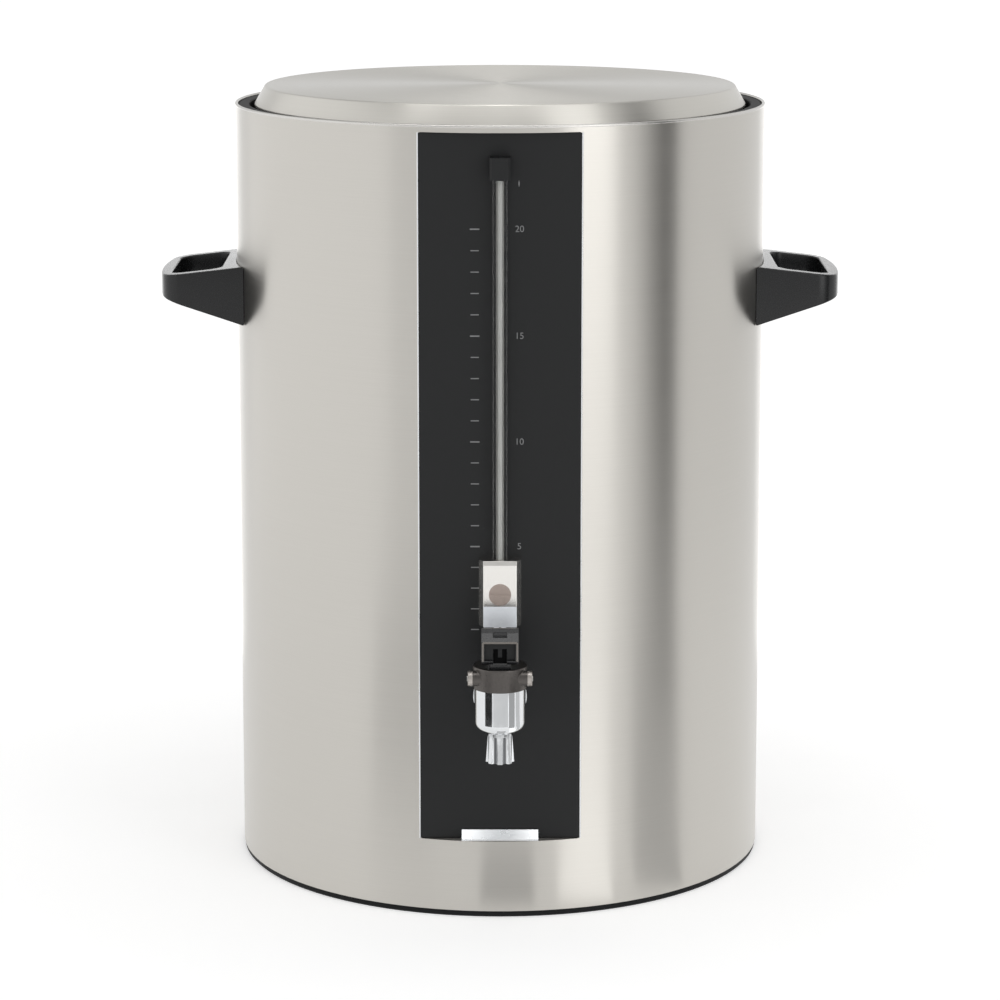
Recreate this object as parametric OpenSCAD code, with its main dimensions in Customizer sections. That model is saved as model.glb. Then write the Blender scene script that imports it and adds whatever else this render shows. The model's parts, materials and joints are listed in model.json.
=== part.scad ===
// Double-walled coffee urn with a lift-off lid, a level gauge and a self-closing tap.
// Millimetres, +Z up, front towards -Y, origin on the axis at the standing plane.

/* [Body] */
// Outside radius of the body
shell_r = 176; // [172:0.5:190]
// Height of the body's top edge above the table
shell_h = 508.6; // [480:0.2:560]
// Thickness of every steel sheet
sheet_t = 1; // [0.8:0.1:1.2]
// Distance from the tank's inside to the body's outside
wall_gap = 22; // [21:0.5:28]
// Clearance between pieces that are fitted together and stay still
seat_gap = 0.3; // [0.2:0.05:0.4]

/* [Base] */
// Height of the base cap that shows under the body
base_lip_h = 4; // [3:0.5:8]
// Thickness of the base cap's walls
base_wall_t = 3; // [2.5:0.5:4]
// Height of the base cap's wall inside the body
base_plug_h = 10; // [8:1:16]
// Depth of the hollow ring under the base cap
base_relief = 1.2; // [0.8:0.1:1.5]
// Width of the flat rim that the urn stands on
base_rim_w = 26; // [20:1:36]
// Radius of the flat pad in the middle of the base
base_pad_r = 45; // [30:1:70]
// Radius of the circle of base screws
base_screw_ring = 120; // [90:1:130]
// Number of base screws
base_screw_count = 4; // [3:1:8]
// Height of the base plate's flange
base_flange_h = 12; // [8:1:20]

/* [Tank] */
// Height of the tank's floor above the table
tank_floor = 172; // [168:0.5:185]
// Inside radius of the tank's lower corner
tank_corner_r = 12; // [8:1:20]
// Depth of the tank's rim below the body's top edge
tank_rim_drop = 7.6; // [7:0.1:9]
// Width of the tank's rim beyond its wall
tank_rim_w = 6; // [4:0.25:6.2]
// Thickness of the insulation under the tank's floor
floor_foam_t = 10; // [6:1:10]
// Distance from the tank's wall to the axis of its outlet
outlet_inset = 42; // [38:1:54]
// Bore radius of the coffee passage from the tank to the tap
passage_r = 7; // [6:0.25:8]

/* [Collar] */
// Height of the collar, from its foot to the tank's rim
collar_h = 12; // [9:0.5:16]
// Width of the collar's upper ring
collar_top_w = 7.2; // [6:0.2:8]

/* [Lid] */
// Distance from the lid's side to the body's outside
lid_inset = 13; // [12:0.1:14]
// Height of the lid's top above the body's top edge
lid_rise = 11.4; // [9:0.2:18]
// Height of the lid's upright foot
lid_foot_h = 4; // [3:0.5:5]
// Width of the lid's sloping side, seen from above
lid_slope_w = 7; // [4:0.5:9]
// Radius of the rounding between the lid's side and its top
lid_edge_r = 2; // [1.2:0.2:3]
// Depth of the lid's inner pan below the tank's rim
lid_plug_d = 6; // [5:0.5:20]
// Clearance between the lid's inner pan and the tank
lid_plug_gap = 3; // [1.5:0.25:4]

/* [Handles] */
// Depth of the handles' top below the body's top edge
handle_drop = 105.9; // [60:0.1:180]
// How far a handle stands out from the body
handle_reach = 50; // [44:0.5:60]
// Width of a handle across its side walls
handle_w = 102; // [96:1:120]
// Height of a handle at the body
handle_root_h = 38.5; // [34:0.5:42]
// Height of a handle at its outer end
handle_tip_h = 15; // [13:0.5:20]
// How far a handle's top falls towards its outer end
handle_fall = 5.7; // [2:0.1:8]
// Thickness of a handle's walls
handle_wall = 9; // [8:0.25:10]
// Thickness of a handle's root at its middle
handle_root_t = 8; // [7:0.5:10]
// Bevel round a handle's top edge
handle_bevel = 1.5; // [1:0.25:4]
// Half the distance between a handle's screws
handle_screw_half = 30; // [22:1:36]
// Thickness of the backing plates inside the wall
backplate_t = 3; // [2:0.5:4]

/* [Front panel] */
// Width of the front panel
panel_w = 102.5; // [90:0.5:106]
// Height of the panel's lower edge above the table
panel_bottom = 50.4; // [40:0.5:80]
// Width of the steel left above the panel
panel_top_gap = 4.6; // [4:0.1:5]
// Corner radius of the panel
panel_corner_r = 2; // [1.5:0.5:6]
// Thickness of the panel's skin and ribs
panel_skin = 2; // [1.5:0.25:2.5]
// Depth of the panel from its face to its back
panel_depth = 5.5; // [5:0.1:6]
// Width of the panel's solid spine behind the gauge
spine_w = 25; // [22:1:40]
// Width of the steel tongue at the panel's lower edge
clip_w = 49; // [30:1:70]
// Height of that tongue
clip_h = 6; // [4:0.5:9]

/* [Gauge] */
// Distance from the panel's face to the gauge tube's axis
gauge_off = 6.2; // [5.8:0.1:7]
// Outside radius of the gauge tube
tube_r = 4.5; // [4:0.1:4.8]
// Wall thickness of the gauge tube
tube_wall = 1.3; // [0.8:0.1:1.5]
// Width of the gauge block
block_w = 26.7; // [24:0.1:30]
// Height of the gauge block
block_h = 42; // [38:1:60]
// Depth of the gauge block in front of the panel
block_d = 13.6; // [13:0.1:18]
// Width of the bevels along the gauge block's front edges
block_bevel = 2.85; // [1:0.05:4]
// Depth of those bevels
block_bevel_d = 5.6; // [2:0.1:6]
// Height of the gauge block's foot above the tap's axis
block_rise = 47.5; // [45.5:0.5:60]
// Radius of the round plug in the gauge block's face
plug_r = 7; // [6:0.1:7.5]
// Height of that plug above the gauge block's foot
plug_rise = 20.6; // [18:0.2:24]
// Depth of the tube's sockets
socket_d = 10; // [7:0.5:12]
// Depth of the upper holder's foot below the body's top edge
holder_drop = 33.6; // [28:0.2:60]
// Height of the upper holder
holder_h = 14; // [13:0.5:18]

/* [Tap] */
// Height of the tap's shank above the table
tap_z = 145.5; // [140:0.5:147]
// Distance from the panel's face to the tap's axis
tap_reach = 39.6; // [37:0.2:60]
// Outside radius of the tap's cup
cup_r = 16; // [15:0.25:18]
// Height of the cup above the shank's axis
cup_up = 15.5; // [13:0.5:17]
// Depth of the cup below the shank's axis
cup_down = 12.5; // [12.5:0.5:18]
// Radius of the valve chamber in the cup
chamber_r = 13; // [12.5:0.1:13.5]
// Radius of the rounding at the cup's foot
cup_foot_r = 6; // [4:0.5:8]
// Outside radius of the nozzle's lip
nozzle_r = 9; // [8.5:0.1:10]
// Bore radius of the nozzle
nozzle_bore_r = 5.6; // [5:0.1:5.8]
// Length of the nozzle below the cup
nozzle_len = 20; // [14:0.5:30]
// Number of flutes round the nozzle
flute_count = 8; // [6:1:10]
// Radius of the tap's flange against the panel
flange_r = 17; // [15:0.5:19]
// Thickness of that flange
flange_t = 3; // [2:0.5:5]
// Outside radius of the shank
shank_r = 10; // [9.5:0.25:11]
// Length of the shank behind the panel's face
shank_tail = 40; // [36:0.5:46]

/* [Tap cap and lever] */
// Outside radius of the tap's cap
bonnet_r = 17; // [16.8:0.1:18]
// Height of the tap's cap above the cup
bonnet_h = 14.3; // [14:0.1:14.6]
// Height of the lever's pin above the cup
pin_rise = 7.4; // [7.2:0.1:7.8]
// Distance from the stem's axis forward to the pin
pin_fwd = 8; // [7.6:0.1:9]
// Radius of the lever's pin
pin_r = 2; // [1.5:0.1:2.2]
// Length of the lever's pin
pin_len = 41; // [38:0.5:44]
// Radius of the ears that carry the pin
ear_r = 4.8; // [3.8:0.1:5.2]
// Width of the lever's grip
lever_w = 23.2; // [20:0.4:30]
// Height of the lever's grip above its pin
lever_h = 32; // [28:0.5:44]
// Thickness of the lever's grip
lever_t = 8; // [7:0.25:8]
// Angle that the lever is pulled to open the tap
lever_pull = 25; // [18:1:26]
// Running clearance of the pin and of the stem in their bores
running_gap = 0.06; // [0.04:0.01:0.1]

/* [Valve] */
// Radius of the valve's stem
stem_r = 3; // [2.5:0.1:3.2]
// Radius of the stem's head
stem_head_r = 5.5; // [5:0.1:5.8]
// Radius of the rubber seat cup
seat_cup_r = 9; // [8:0.25:10]
// Height of the rubber seat cup
seat_cup_h = 4.2; // [3.5:0.1:5]
// Wire radius of the stem's spring
wire_r = 0.6; // [0.4:0.05:0.7]
// Turns of the stem's spring
spring_turns = 5; // [4:0.5:6]

/* [Hidden] */

$fn = 96;
past = 1;              // how far a cut runs past the face that it opens
merge = 0.02;          // how far a screw's shank reaches into its head

// Body and tank
shell_in = shell_r - sheet_t;
tank_r = shell_r - wall_gap;
tank_out = tank_r + sheet_t;
tank_rim_z = shell_h - tank_rim_drop;
tank_rim_r = tank_out + tank_rim_w;
collar_foot = tank_rim_z - sheet_t - collar_h;
collar_top = shell_h - sheet_t;
bead_r = sheet_t;
outlet_reach = tank_r - outlet_inset;

// Base
plug_r_out = shell_in - seat_gap;
base_plate_z = base_lip_h + base_plug_h;
base_screw_r = 2;
base_head_r = 4.2;
base_head_h = 3;
base_head_z = base_relief + base_head_h + 1;
base_slot = 1;

// Panel and its pocket in the body
panel_y = -sqrt(shell_r * shell_r - panel_w * panel_w / 4);
panel_top = shell_h - panel_top_gap;
pocket_y = panel_y + panel_depth + 0.1;
pocket_back = pocket_y + sheet_t;
panel_fit = 0.15;

// Lid
lid_r = shell_r - lid_inset;
lid_top = shell_h + lid_rise;
lid_skirt = panel_top + sheet_t + 0.6;
lid_pan_r = tank_r - lid_plug_gap;
lid_pan_z = tank_rim_z - lid_plug_d;
lid_pan_corner_r = 4 * sheet_t;
lid_seal_h = lid_skirt - tank_rim_z - seat_gap;

// Gauge
gauge_y = panel_y - gauge_off;
block_z = tap_z + block_rise;
block_top = block_z + block_h;
block_face = panel_y - block_d;
holder_z = shell_h - holder_drop;
holder_top = holder_z + holder_h;
seal_t = 2;
seal_bore_r = 1.6;
holder_wall = 2;
block_lean = 1.6;       // how far the gauge block's lower front leans out at its foot
block_lean_h = 13;
plug_step = 2;          // how much narrower the plug's thread is than its head
plug_seat = 1.2;        // depth that the plug's head is sunk
tube_z0 = block_top - socket_d + seal_t + 0.1;
tube_z1 = holder_z + socket_d - seal_t - 0.1;
tube_fit = 0.1;
feed_r = 2.5;
spigot_len = 5;

// Tap
tap_y = panel_y - tap_reach;
cup_z0 = tap_z - cup_down;
cup_z1 = tap_z + cup_up;
cup_floor_t = 5;
seat_z = cup_z0 + cup_floor_t;
neck_r = min(cup_up, cup_down) - 0.5;
gasket_t = 1;
riser_r = gauge_off - gasket_t - 0.2;
shank_front = tap_y + cup_r + 3;
shank_back = panel_y + shank_tail;
nut_r = 16;
nut_h = 7;
thread_fit = 0.05;
nozzle_spigot_r = 8;
nozzle_spigot_h = 3;
elbow_r = 13;
elbow_socket = 12;
spigot_r = shank_r;
spigot_wall = 2;
elbow_top = tank_floor - sheet_t - 3;

// Cap, lever and valve
bonnet_top = cup_z1 + bonnet_h;
bonnet_spigot = 6;
bonnet_fit = 0.2;
pin_y = tap_y - pin_fwd;
pin_z = cup_z1 + pin_rise;
pocket_half = 6.6;
cheek_t = 3;
cheek_in = 3.2;
cheek_out = cheek_in + cheek_t;
cheek_boss_r = 3.5;
pocket_floor = pin_z - cheek_boss_r - 0.5;
neck_front = 2.5;       // the neck's front face, ahead of the pin
pocket_front = pin_fwd + neck_front / cos(lever_pull) + (bonnet_top - pin_z) * tan(lever_pull)
    + seat_gap;
neck_h = 10.5;          // height of the lever's cheeks above the pin
neck_t = 2.5;
grip_rear = 1.5;        // the grip's rear face, behind the pin
grip_front = grip_rear - lever_t;
grip_foot = 10;         // the grip's lower edge, above the pin
grip_slope = 5;         // height of the grip's sloping top
grip_lip = 2.5;         // height of the lip above that slope
grip_frame = 1.9;       // width of the frame round the grip's hollow
grip_notch = 8.6;       // width of the notches in the grip's slope and hollow
finger_r = 2;
stem_head_z = pin_z + finger_r + seat_gap;
stem_head_h = 3;
seat_gap_z = seat_z + seat_gap;
seat_lip_h = 1.8;
stem_foot = seat_gap_z + seat_lip_h;
stem_collar_z = seat_gap_z + seat_cup_h + 0.1;
stem_collar_r = 6.8;
stem_collar_t = 1.2;
spring_z0 = stem_collar_z + stem_collar_t + 0.1;
spring_z1 = cup_z1 - 0.1;
spring_r = 5.4;
spring_room_r = 7.5;

// Handles
handle_top = shell_h - handle_drop;
handle_x1 = shell_r + handle_reach;
handle_mid_z = handle_top - handle_root_h / 2;
handle_corner_r = 14;
handle_bow_r = 230;
handle_root_x = shell_r - 30;
handle_screw_r = 2.4;
handle_screw_in = 6;
finger_corner_r = 9;
backplate_half_h = 11;
backplate_fit = 0.2;
backplate_more = 3;     // degrees of backing plate beyond each screw
screw_head_r = 4;
screw_head_h = 2.5;

// ---- Shared shapes ----

// Cylinder along X between two places
module rod_x(r, x0, x1) {
    translate([x0, 0, 0]) rotate([0, 90, 0]) cylinder(r = r, h = x1 - x0);
}

// Cylinder along Y between two places
module rod_y(r, y0, y1) {
    translate([0, y0, 0]) rotate([-90, 0, 0]) cylinder(r = r, h = y1 - y0);
}

// Cylinder along Z between two heights
module rod_z(r, z0, z1) {
    translate([0, 0, z0]) cylinder(r = r, h = z1 - z0);
}

// Flat ring between two heights
module ring(r_in, r_out, z0, z1) {
    difference() {
        rod_z(r_out, z0, z1);
        rod_z(r_in, z0 - past, z1 + past);
    }
}

// Block centred on X, between two places in Y and two heights
module block_x(w, y0, y1, z0, z1) {
    translate([-w / 2, y0, z0]) cube([w, y1 - y0, z1 - z0]);
}

// Upright plate: an outline in X and Z, from a front place back to another
module upright(y0, y1) {
    translate([0, y1, 0]) rotate([90, 0, 0]) linear_extrude(y1 - y0) children();
}

// Bar along X: an outline in Y and Z, as wide as given and centred
module across(w) {
    translate([-w / 2, 0, 0]) rotate([90, 0, 90]) linear_extrude(w) children();
}

// Bar along Y: an outline in X and Z, as wide as given and centred
module across_y(w) {
    translate([0, w / 2, 0]) rotate([90, 0, 0]) linear_extrude(w) children();
}

// Outline with round corners, centred sideways, between two heights
module round_rect(w, z0, z1, r) {
    translate([-w / 2, z0 + r]) square([w, z1 - z0 - 2 * r]);
    translate([-w / 2 + r, z0]) square([w - 2 * r, z1 - z0]);
    for (x = [-w / 2 + r, w / 2 - r], z = [z0 + r, z1 - r])
        translate([x, z]) circle(r);
}

// Points along an arc, from one angle to another
function arc(centre, r, a0, a1, steps) =
    [for (i = [0:steps]) let (a = a0 + (a1 - a0) * i / steps) centre + r * [cos(a), sin(a)]];

// Half-section of a disc whose upper edge is rounded
module crown_section(r, z0, z1, edge_r) {
    translate([0, z0]) square([r - edge_r, z1 - z0]);
    translate([0, z0]) square([r, z1 - z0 - edge_r]);
    translate([r - edge_r, z1 - edge_r]) intersection() {
        circle(edge_r);
        square(edge_r);
    }
}

// Half-section of a cup whose lower edge is rounded
module cup_section(r, z0, z1, edge_r) {
    translate([0, z0]) square([r - edge_r, z1 - z0]);
    translate([0, z0 + edge_r]) square([r, z1 - z0 - edge_r]);
    translate([r - edge_r, z0 + edge_r]) intersection() {
        circle(edge_r);
        translate([0, -edge_r]) square(edge_r);
    }
}

// Round wire along a helix round Z
function coil_point(s, z0, z1) =
    [spring_r * cos(360 * spring_turns * s), spring_r * sin(360 * spring_turns * s),
     z0 + wire_r + (z1 - z0 - 2 * wire_r) * s];

module coil(z0, z1) {
    sides = 6;
    steps = round(spring_turns * 16);
    points = [for (i = [0:steps], k = [0:sides - 1])
        let (p = coil_point(i / steps, z0, z1), a = 360 * spring_turns * i / steps,
             b = 360 * k / sides, out = wire_r * cos(b))
        [p.x + out * cos(a), p.y + out * sin(a), p.z + wire_r * sin(b)]];
    wall = [for (i = [0:steps - 1], k = [0:sides - 1])
        let (a = i * sides + k, b = i * sides + (k + 1) % sides)
        [a, a + sides, b + sides, b]];
    first = [for (k = [0:sides - 1]) k];
    last = [for (k = [sides - 1:-1:0]) steps * sides + k];
    polyhedron(points, concat(wall, [first], [last]), convexity = 8);
}

// ---- Body ----

// The flat window's outline, grown by a margin
module window_outline(grow) {
    round_rect(panel_w + 2 * grow, panel_bottom - grow, panel_top + grow,
               panel_corner_r + grow);
}

// Rolled outer wall with a bead at its top edge and a flat pressed pocket for the panel
module outer_shell() {
    color("#c8c5bf") difference() {
        union() {
            ring(shell_in, shell_r, base_lip_h, shell_h - bead_r);
            rotate_extrude() translate([shell_r - bead_r, shell_h - bead_r]) circle(bead_r);
            intersection() {
                upright(-shell_r, pocket_back) window_outline(sheet_t);
                rod_z(shell_r, base_lip_h, shell_h - bead_r);
            }
        }
        upright(-shell_r - past, pocket_y) window_outline(0);
        translate([0, 0, tap_z]) rod_y(shank_r + tube_fit, pocket_y - past, pocket_back + past);
        for (side = [-1, 1]) at_handle_screws(side) rod_x(handle_screw_r + tube_fit,
            shell_in - past, shell_r + past);
    }
}

// Deep-drawn tank with a flat rim and an outlet spigot under its floor
module inner_tank() {
    color("#b9b7b2") difference() {
        union() {
            rotate_extrude() difference() {
                cup_section(tank_out, tank_floor - sheet_t, tank_rim_z, tank_corner_r + sheet_t);
                cup_section(tank_r, tank_floor, tank_rim_z + past, tank_corner_r);
            }
            ring(tank_r, tank_rim_r, tank_rim_z - sheet_t, tank_rim_z);
            translate([0, -outlet_reach, 0])
                rod_z(spigot_r, tank_floor - elbow_socket, tank_floor - sheet_t / 2);
        }
        translate([0, -outlet_reach, 0])
            rod_z(spigot_r - spigot_wall, tank_floor - elbow_socket - past, tank_floor + past);
    }
}

// The room behind the window, which nothing between the walls may enter
module pocket_room(z0, z1) {
    block_x(panel_w + 2 * sheet_t + 2 * seat_gap, -shell_r - past, pocket_back + seat_gap, z0, z1);
}

// Foam sleeve between the tank and the body
module wall_insulation() {
    z0 = tank_floor - sheet_t;
    z1 = collar_foot - seat_gap;
    color("#e8dcb0") difference() {
        ring(tank_out + seat_gap, shell_in - seat_gap, z0, z1);
        pocket_room(z0 - past, z1 + past);
        for (side = [-1, 1]) scale_x(side) backplate_room();
    }
}

// Foam disc under the tank's floor, open round the outlet
module floor_insulation() {
    z1 = tank_floor - sheet_t - seat_gap;
    color("#e8dcb0") difference() {
        rod_z(shell_in - seat_gap, z1 - floor_foam_t, z1);
        block_x(2 * elbow_r + 4, -shell_r, elbow_r + 2 - outlet_reach,
                z1 - floor_foam_t - past, z1 + past);
        pocket_room(z1 - floor_foam_t - past, z1 + past);
    }
}

// Moulded ring that joins the two walls, carries the tank's rim and guides the lid
module top_collar() {
    out = shell_in - seat_gap;
    bead_in = shell_r - 2 * bead_r - seat_gap;
    seat = tank_rim_z - sheet_t;
    b = 0.6;
    color("#26272a") difference() {
        rotate_extrude() polygon([
            [tank_out + seat_gap, collar_foot], [out, collar_foot],
            [out, shell_h - 2 * bead_r - seat_gap], [bead_in, shell_h - 2 * bead_r],
            [bead_in, collar_top - b], [bead_in - b, collar_top],
            [bead_in - collar_top_w + b, collar_top], [bead_in - collar_top_w, collar_top - b],
            [bead_in - collar_top_w, seat], [tank_out + seat_gap, seat]
        ]);
        pocket_room(collar_foot - past, panel_top + sheet_t + seat_gap);
    }
}

// ---- Base ----

// Copies what follows to each base screw
module at_base_screws() {
    for (i = [0:base_screw_count - 1])
        rotate([0, 0, 45 + 360 * i / base_screw_count]) translate([base_screw_ring, 0, 0]) children();
}

// Steel pan that closes the body above the base cap
module base_plate() {
    color("#b9b7b2") difference() {
        union() {
            rod_z(plug_r_out, base_plate_z, base_plate_z + sheet_t);
            ring(plug_r_out - sheet_t, plug_r_out, base_plate_z, base_plate_z + base_flange_h);
        }
        at_base_screws()
            rod_z(base_screw_r + running_gap, base_plate_z - past, base_plate_z + sheet_t + past);
    }
}

// Moulded black base that the urn stands on
module base_cap() {
    chamfer = base_lip_h / 4;
    foot_r = shell_r - 2 * seat_gap;
    color("#1b1c1e") difference() {
        union() {
            rotate_extrude() polygon([
                [0, 0], [foot_r - chamfer, 0], [foot_r, chamfer], [foot_r, base_lip_h],
                [plug_r_out, base_lip_h], [plug_r_out, base_plate_z],
                [plug_r_out - base_wall_t, base_plate_z], [plug_r_out - base_wall_t, base_wall_t],
                [0, base_wall_t]
            ]);
            at_base_screws() rod_z(2 * base_head_r, base_relief, base_plate_z);
        }
        ring(base_pad_r, foot_r - base_rim_w, -past, base_relief);
        at_base_screws() {
            rod_z(base_head_r + seat_gap, -past, base_head_z);
            rod_z(base_screw_r + running_gap, 0, base_plate_z + past);
        }
    }
}

// Screws that hold the base cap to the base plate
module base_screws() {
    color("#a7a7a5") at_base_screws() difference() {
        union() {
            rod_z(base_head_r, base_head_z - base_head_h, base_head_z);
            rod_z(base_screw_r, base_head_z - merge, base_plate_z + 5 * sheet_t);
        }
        block_x(base_slot, -base_head_r, base_head_r,
                base_head_z - base_head_h - past, base_head_z - base_head_h + base_slot);
    }
}

// ---- Handles ----

// Mirrors its children to the left when side is -1
module scale_x(side) {
    if (side < 0) mirror([1, 0, 0]) children();
    else children();
}

// Copies what follows to each screw of one side's handle, with X along the screw
module at_handle_screws(side) {
    scale_x(side) for (s = [-1, 1])
        rotate([0, 0, s * asin(handle_screw_half / shell_r)]) translate([0, 0, handle_mid_z]) children();
}

// The handle's outline seen from above: straight sides, round corners and a bowed end
module handle_outline() {
    r = handle_corner_r;
    corner_y = handle_w / 2 - r;
    bow_x = handle_x1 - handle_bow_r;
    corner_x = bow_x + sqrt(pow(handle_bow_r - r, 2) - corner_y * corner_y);
    meet = asin(corner_y / (handle_bow_r - r));
    bow = arc([bow_x, 0], handle_bow_r, -meet, meet, 8);
    polygon(concat(
        [[handle_root_x, -handle_w / 2]],
        arc([corner_x, -corner_y], r, -90, -meet, 7),
        [for (i = [1:7]) bow[i]],
        arc([corner_x, corner_y], r, meet, 90, 7),
        [[handle_root_x, handle_w / 2]]
    ));
}

// The finger opening's outline seen from above
module finger_outline() {
    r = finger_corner_r;
    x0 = shell_r + handle_root_t + r;
    x1 = handle_x1 - handle_wall - r;
    y1 = handle_w / 2 - handle_wall - r;
    polygon(concat(arc([x0, -y1], r, 180, 270, 5), arc([x1, -y1], r, 270, 360, 5),
                   arc([x1, y1], r, 0, 90, 5), arc([x0, y1], r, 90, 180, 5)));
}

// Loop handle: its bevelled top falls and its underside rises towards the outer end
module handle_loop() {
    tip_top = handle_top - handle_fall;
    tip_z = tip_top - handle_tip_h;
    root_z = handle_top - handle_root_h;
    b = handle_bevel;
    half = handle_w / 2;
    difference() {
        intersection() {
            translate([0, 0, root_z]) linear_extrude(handle_root_h + handle_fall) handle_outline();
            across_y(handle_w + 2) polygon([
                [handle_root_x - past, root_z], [shell_r - 7, root_z], [handle_x1 - 4, tip_z],
                [handle_x1 + past, tip_z], [handle_x1 + past, tip_top - b - past],
                [handle_x1 - b - handle_fall, handle_top], [shell_r, handle_top + handle_fall],
                [handle_root_x - past, handle_top + handle_fall]
            ]);
            translate([shell_r, 0, handle_top]) rotate([0, atan(handle_fall / handle_reach), 0])
                across(3 * handle_reach) polygon([
                    [b - half, 0], [half - b, 0], [half + past, -b - past],
                    [half + past, -2 * handle_root_h], [-half - past, -2 * handle_root_h],
                    [-half - past, -b - past]
                ]);
        }
        translate([0, 0, root_z - past]) linear_extrude(handle_root_h + 2 * handle_fall) finger_outline();
        rod_z(shell_r + 0.1, root_z - past, handle_top + 2 * handle_fall);
        at_handle_screws(1) rod_x(handle_screw_r + tube_fit, shell_r - past, shell_r + handle_screw_in + 0.4);
    }
}

module handle_right() {
    color("#2d2e30") handle_loop();
}

module handle_left() {
    color("#2d2e30") scale_x(-1) handle_loop();
}

// Sector of a ring round the body's axis, centred on +X
module sector(r_in, r_out, half_angle, z0, z1) {
    rotate([0, 0, -half_angle]) translate([0, 0, z0])
        rotate_extrude(angle = 2 * half_angle) translate([r_in, 0]) square([r_out - r_in, z1 - z0]);
}

// Space for one side's backing plate and screw heads in the foam
module backplate_room() {
    half = asin(handle_screw_half / shell_r) + backplate_more + 1;
    sector(shell_in - backplate_t - screw_head_h - 2, shell_r, half,
           handle_mid_z - backplate_half_h - 2, handle_mid_z + backplate_half_h + 2);
}

// Curved plates that spread each handle's pull over the wall
module handle_backplates() {
    half = asin(handle_screw_half / shell_r) + backplate_more;
    color("#b9b7b2") for (side = [-1, 1]) difference() {
        scale_x(side) sector(shell_in - backplate_fit - backplate_t, shell_in - backplate_fit, half,
                             handle_mid_z - backplate_half_h, handle_mid_z + backplate_half_h);
        at_handle_screws(side) rod_x(handle_screw_r + tube_fit, shell_in - backplate_t - 3, shell_r);
    }
}

// Screws from inside the wall into the handles
module handle_screws() {
    head_x = shell_in - backplate_t - 2 * backplate_fit;
    color("#a7a7a5") for (side = [-1, 1]) at_handle_screws(side) {
        rod_x(screw_head_r, head_x - screw_head_h, head_x);
        rod_x(handle_screw_r, head_x - merge, shell_r + handle_screw_in);
    }
}

// ---- Front panel ----

// Moulded panel: a flat face with a solid spine and hollow sides behind it
module front_panel() {
    back = panel_y + panel_depth;
    half = panel_w / 2 - panel_fit;
    rib = spine_w / 2;
    color("#35373a") difference() {
        upright(panel_y, back) window_outline(-panel_fit);
        difference() {
            for (s = [-1, 1]) scale_x(s)
                translate([rib, panel_y + panel_skin, panel_bottom + 2 * panel_skin])
                    cube([half - panel_skin - rib, panel_depth,
                          panel_top - panel_bottom - 4 * panel_skin]);
            translate([0, 0, tap_z]) rod_y(flange_r, panel_y, back + past);
        }
        translate([0, 0, tap_z]) rod_y(shank_r + tube_fit, panel_y - past, back + past);
    }
}

// Bright steel tongue that holds the panel's lower edge in the pocket
module panel_clip() {
    foot = panel_bottom + 0.1;
    run = shell_r + panel_y - 1.4;
    y = panel_y - 0.2;
    color("#e6e8ea") across(clip_w) polygon([
        [y, foot], [y, foot + clip_h], [y - 0.8, foot + clip_h], [y - run, foot + 1], [y - run, foot]
    ]);
}

// ---- Gauge ----

module gauge_tube() {
    color("#a8a7a6") translate([0, gauge_y, 0]) ring(tube_r - tube_wall, tube_r, tube_z0, tube_z1);
}

// Black holder on the panel for the tube's upper end, vented through its top
module gauge_top_holder() {
    half = tube_r + holder_wall;
    b = 1.5;
    color("#202124") difference() {
        translate([0, 0, holder_z]) linear_extrude(holder_top - holder_z) polygon([
            [-half, panel_y - 0.1], [-half, gauge_y - half + b], [b - half, gauge_y - half],
            [half - b, gauge_y - half], [half, gauge_y - half + b], [half, panel_y - 0.1]
        ]);
        translate([0, gauge_y, 0]) {
            rod_z(tube_r + tube_fit, holder_z - past, holder_z + socket_d);
            rod_z(1.5, holder_z, holder_top + past);
        }
    }
}

module gauge_top_seal() {
    color("#3a3a3a") translate([0, gauge_y, 0])
        ring(seal_bore_r, tube_r, holder_z + socket_d - seal_t, holder_z + socket_d);
}

// Bright block with the tube's socket, its feed from the tap and a clean-out bore
module gauge_block() {
    w = block_w / 2;
    b = block_bevel;
    color("#dfe0e0") difference() {
        union() {
            translate([0, 0, block_z]) linear_extrude(block_h) polygon([
                [-w, panel_y - 0.1], [-w, block_face + block_bevel_d], [-w + b, block_face],
                [w - b, block_face], [w, block_face + block_bevel_d], [w, panel_y - 0.1]
            ]);
            across(block_w - 2 * b) polygon([
                [gauge_y, block_z], [block_face - block_lean, block_z],
                [block_face, block_z + block_lean_h], [gauge_y, block_z + block_lean_h]
            ]);
        }
        translate([0, gauge_y, 0]) {
            rod_z(tube_r + tube_fit, block_top - socket_d, block_top + past);
            rod_z(feed_r, block_z, block_top - socket_d + past);
            rod_z(riser_r - 1 + tube_fit, block_z - past, block_z + spigot_len + 0.2);
        }
        translate([0, 0, block_z + plug_rise]) {
            rod_y(plug_r + tube_fit, block_face - past, block_face + plug_seat);
            rod_y(plug_r - plug_step, block_face, gauge_y);
        }
    }
}

// Round clean-out plug with a slot
module gauge_block_plug() {
    color("#8f8a85") translate([0, 0, block_z + plug_rise]) difference() {
        union() {
            rod_y(plug_r, block_face - 0.3, block_face + plug_seat - 0.1);
            rod_y(plug_r - plug_step - thread_fit, block_face, gauge_y - feed_r - 0.2);
        }
        block_x(2 * plug_r - 3, block_face - past, block_face + 0.5, -0.6, 0.6);
    }
}

module gauge_lower_seal() {
    color("#3a3a3a") translate([0, gauge_y, 0])
        ring(seal_bore_r, tube_r, block_top - socket_d, block_top - socket_d + seal_t);
}

// ---- Tap ----

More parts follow.
